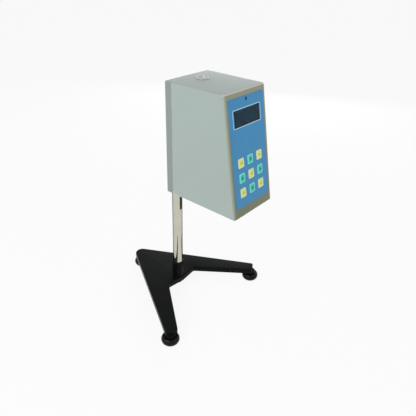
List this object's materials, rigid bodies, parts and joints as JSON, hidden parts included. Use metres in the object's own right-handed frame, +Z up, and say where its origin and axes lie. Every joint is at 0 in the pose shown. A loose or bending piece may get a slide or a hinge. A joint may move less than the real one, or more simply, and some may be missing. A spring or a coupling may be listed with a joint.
{
  "type": "rotational viscometer",
  "caption": "Bench viscometer: wedge-shaped head with sloping keypad and display on a rack-and-pinion column, V-shaped base with levelling feet.",
  "frame": {"origin": "centre of the whole object's footprint, on the bench", "axes": "+Z up; the panel faces -Y; +X is to the right of someone who faces the panel"},
  "size_m": [0.2772, 0.2984, 0.4437],
  "materials": {
    "black_enamel": "black enamel, semi-gloss",
    "chrome": "polished",
    "steel": "turned",
    "dark_steel": "oiled",
    "black_screw": "black oxide",
    "bracket_paint": "black paint on cast aluminium",
    "brass": "turned",
    "black_plastic": "moulded",
    "foot_plastic": "moulded",
    "nylon": "natural",
    "housing_paint": "fine satin paint, silver grey",
    "cover_paint": "fine satin paint, darker grey",
    "aluminium": "milled",
    "zinc_steel": "zinc plated",
    "overlay_film": "printed film, satin",
    "dark_window": "dark window",
    "circuit_board": "solder mask",
    "led_lens": "tinted lens",
    "motor_steel": "black and bare steel",
    "disc_black": "black anodised",
    "spring_bronze": "spring strip",
    "level_metal": "nickel plated",
    "clear_glass": "clear",
    "rocker_plastic": "moulded",
    "port_metal": "tin plated",
    "rubber": "matt",
    "key_yellow": "soft key, pale yellow",
    "key_green": "soft key, turquoise"
  },
  "bodies": {
    "stand": {"base_plate": "black_enamel", "column": "chrome", "column_nut": "steel", "rack": "dark_steel", "rack_screws": "black_screw"},
    "head": {"lift_bracket": "bracket_paint", "bracket_screws": "black_screw", "pinion_bush": "brass", "brake_pad": "nylon", "front_housing": "housing_paint", "rear_cover": "cover_paint", "cover_screws": "steel", "bottom_plate": "aluminium", "mounting_plate": "zinc_steel", "panel_overlay": "overlay_film", "display_window": "dark_window", "display_module": "circuit_board", "keypad_board": "circuit_board", "power_led": "led_lens", "main_board": "circuit_board", "board_spacers": "brass", "power_board": "circuit_board", "motor": "motor_steel", "motor_plate": "aluminium", "frame_pillars": "brass", "motor_screws": "steel", "lower_bearing": "steel", "guard_collar": "aluminium", "sensor_board": "circuit_board", "level_cup": "level_metal", "level_glass": "clear_glass", "power_inlet": "black_plastic", "power_switch": "black_plastic", "serial_port": "port_metal"},
    "lift_pinion": {"pinion_shaft": "steel", "lift_knob": "black_plastic"},
    "tension_screw": {"tension_knob": "black_plastic"},
    "rocker": {"switch_rocker": "rocker_plastic"},
    "drive": {"drive_shaft": "steel", "drive_disc": "disc_black", "hairspring": "spring_bronze"},
    "spindle": {"pivot_shaft": "steel", "driven_disc": "disc_black", "spindle_coupling": "steel"},
    "key_1": {"key_1": "key_yellow"},
    "key_2": {"key_2": "key_green"},
    "key_3": {"key_3": "key_yellow"},
    "key_4": {"key_4": "key_green"},
    "key_5": {"key_5": "key_yellow"},
    "key_6": {"key_6": "key_green"},
    "key_7": {"key_7": "key_yellow"},
    "key_8": {"key_8": "key_green"},
    "key_9": {"key_9": "key_yellow"},
    "left_foot": {"left_foot_sole": "rubber"},
    "left_foot_knob": {"left_foot_screw": "foot_plastic"},
    "right_foot": {"right_foot_sole": "rubber"},
    "right_foot_knob": {"right_foot_screw": "foot_plastic"},
    "rear_foot": {"rear_foot_sole": "rubber"},
    "rear_foot_knob": {"rear_foot_screw": "foot_plastic"}
  },
  "joints": [
    {"name": "head_lift", "type": "slide", "parent": "stand", "child": "head", "axis": [0, 0, 1], "range_m": [-0.12, 0.05]},
    {"name": "lift_knob_turn", "type": "hinge", "parent": "head", "child": "lift_pinion", "pos_m": [0, 0.0076, 0.3295], "axis": [1, 0, 0], "range_deg": [-490, 1160]},
    {"name": "tension_screw_turn", "type": "hinge", "parent": "head", "child": "tension_screw", "pos_m": [0.02, 0.0218, 0.3065], "axis": [1, 0, 0], "range_deg": [-180, 90]},
    {"name": "power_rocker_tilt", "type": "hinge", "parent": "head", "child": "rocker", "pos_m": [0.032, -0.0022, 0.4005], "axis": [1, 0, 0], "range_deg": [0, 16]},
    {"name": "motor_drive", "type": "hinge", "parent": "head", "child": "drive", "pos_m": [0, -0.0672, 0.3085], "axis": [0, 0, 1], "continuous": true},
    {"name": "spindle_turn", "type": "hinge", "parent": "head", "child": "spindle", "pos_m": [0, -0.0672, 0.2545], "axis": [0, 0, 1], "continuous": true},
    {"name": "key_1_press", "type": "slide", "parent": "head", "child": "key_1", "axis": [0, 0.9849, -0.1729], "range_m": [0, 0.0008], "stiffness_N_per_m": 1500, "springref_m": -0.001},
    {"name": "key_2_press", "type": "slide", "parent": "head", "child": "key_2", "axis": [0, 0.9849, -0.1729], "range_m": [0, 0.0008], "stiffness_N_per_m": 1500, "springref_m": -0.001},
    {"name": "key_3_press", "type": "slide", "parent": "head", "child": "key_3", "axis": [0, 0.9849, -0.1729], "range_m": [0, 0.0008], "stiffness_N_per_m": 1500, "springref_m": -0.001},
    {"name": "key_4_press", "type": "slide", "parent": "head", "child": "key_4", "axis": [0, 0.9849, -0.1729], "range_m": [0, 0.0008], "stiffness_N_per_m": 1500, "springref_m": -0.001},
    {"name": "key_5_press", "type": "slide", "parent": "head", "child": "key_5", "axis": [0, 0.9849, -0.1729], "range_m": [0, 0.0008], "stiffness_N_per_m": 1500, "springref_m": -0.001},
    {"name": "key_6_press", "type": "slide", "parent": "head", "child": "key_6", "axis": [0, 0.9849, -0.1729], "range_m": [0, 0.0008], "stiffness_N_per_m": 1500, "springref_m": -0.001},
    {"name": "key_7_press", "type": "slide", "parent": "head", "child": "key_7", "axis": [0, 0.9849, -0.1729], "range_m": [0, 0.0008], "stiffness_N_per_m": 1500, "springref_m": -0.001},
    {"name": "key_8_press", "type": "slide", "parent": "head", "child": "key_8", "axis": [0, 0.9849, -0.1729], "range_m": [0, 0.0008], "stiffness_N_per_m": 1500, "springref_m": -0.001},
    {"name": "key_9_press", "type": "slide", "parent": "head", "child": "key_9", "axis": [0, 0.9849, -0.1729], "range_m": [0, 0.0008], "stiffness_N_per_m": 1500, "springref_m": -0.001},
    {"name": "left_foot_travel", "type": "slide", "parent": "stand", "child": "left_foot", "axis": [0, 0, -1], "range_m": [0, 0.005]},
    {"name": "left_foot_turn", "type": "hinge", "parent": "left_foot", "child": "left_foot_knob", "pos_m": [-0.122, -0.0755, 0.01], "axis": [0, 0, 1], "range_deg": [0, 1440]},
    {"name": "right_foot_travel", "type": "slide", "parent": "stand", "child": "right_foot", "axis": [0, 0, -1], "range_m": [0, 0.005]},
    {"name": "right_foot_turn", "type": "hinge", "parent": "right_foot", "child": "right_foot_knob", "pos_m": [0.122, -0.0755, 0.01], "axis": [0, 0, 1], "range_deg": [0, 1440]},
    {"name": "rear_foot_travel", "type": "slide", "parent": "stand", "child": "rear_foot", "axis": [0, 0, -1], "range_m": [0, 0.005]},
    {"name": "rear_foot_turn", "type": "hinge", "parent": "rear_foot", "child": "rear_foot_knob", "pos_m": [0, 0.1326, 0.01], "axis": [0, 0, 1], "range_deg": [0, 1440]}
  ],
  "couplings": [
    {"joint": "lift_knob_turn", "follows": "head_lift", "rad_per_m": -166.67},
    {"joint": "spindle_turn", "follows": "motor_drive", "ratio": 1},
    {"joint": "left_foot_turn", "follows": "left_foot_travel", "rad_per_m": 5026.5},
    {"joint": "right_foot_turn", "follows": "right_foot_travel", "rad_per_m": 5026.5},
    {"joint": "rear_foot_turn", "follows": "rear_foot_travel", "rad_per_m": 5026.5}
  ]
}
